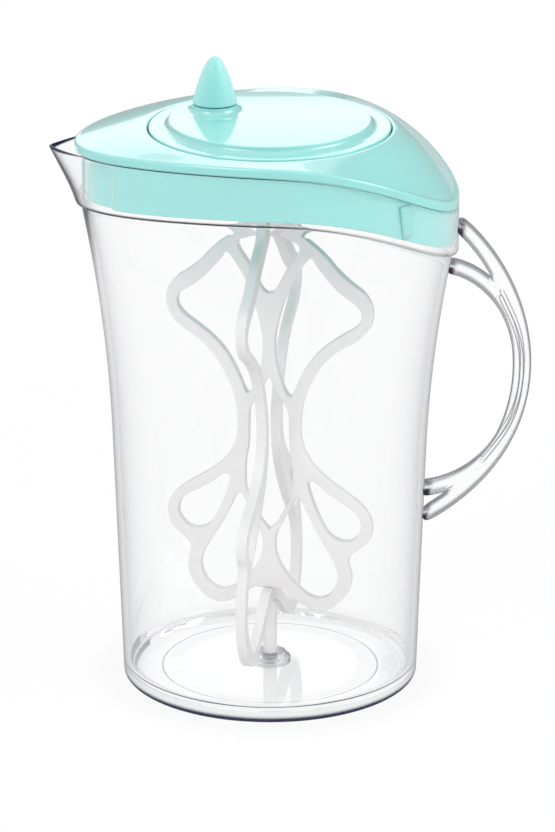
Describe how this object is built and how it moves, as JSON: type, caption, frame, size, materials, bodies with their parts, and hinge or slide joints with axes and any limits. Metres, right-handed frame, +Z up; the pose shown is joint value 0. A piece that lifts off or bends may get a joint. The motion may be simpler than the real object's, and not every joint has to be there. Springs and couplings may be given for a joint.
{
  "type": "mixing pitcher",
  "caption": "Clear mixing pitcher with a forked side handle, a pouring lip and a swooping mint lid; a crank dial in the lid turns crossed looped paddles that stand in a pivot cup on the floor.",
  "frame": {"origin": "centre of the round base on the surface the pitcher stands on, on the axis of the dial and the paddles", "axes": "+Z up along the axis of the dial, +X towards the handle, -X towards the pouring lip"},
  "size_m": [0.1774, 0.11, 0.235],
  "materials": {
    "clear_plastic": "clear and glossy",
    "mint_plastic": "glossy",
    "milky_plastic": "satin, slightly translucent",
    "seal_rubber": "matte",
    "steel": "brushed"
  },
  "bodies": {
    "jug": {"jug_body": "clear_plastic", "jug_handle": "clear_plastic", "pivot_cup": "clear_plastic"},
    "lid": {"lid_cover": "mint_plastic", "lid_plug": "mint_plastic", "bearing_sleeve": "milky_plastic", "spindle_seal": "seal_rubber"},
    "mixer": {"dial": "mint_plastic", "drive_spindle": "milky_plastic", "thrust_washer": "seal_rubber", "drive_socket": "milky_plastic", "socket_screw": "steel", "knob_pin": "steel", "top_hub": "milky_plastic", "wide_paddle": "milky_plastic", "deep_paddle": "milky_plastic"},
    "knob": {"knob": "mint_plastic"}
  },
  "joints": [
    {"name": "lid_lift", "type": "slide", "parent": "jug", "child": "lid", "axis": [0, 0, 1], "range_m": [0, 0.215]},
    {"name": "dial_turn", "type": "hinge", "parent": "lid", "child": "mixer", "pos_m": [0, 0, 0.2], "axis": [0, 0, 1], "continuous": true},
    {"name": "knob_spin", "type": "hinge", "parent": "mixer", "child": "knob", "pos_m": [-0.02116, 0.01078, 0.225], "axis": [0, 0, 1], "continuous": true}
  ]
}
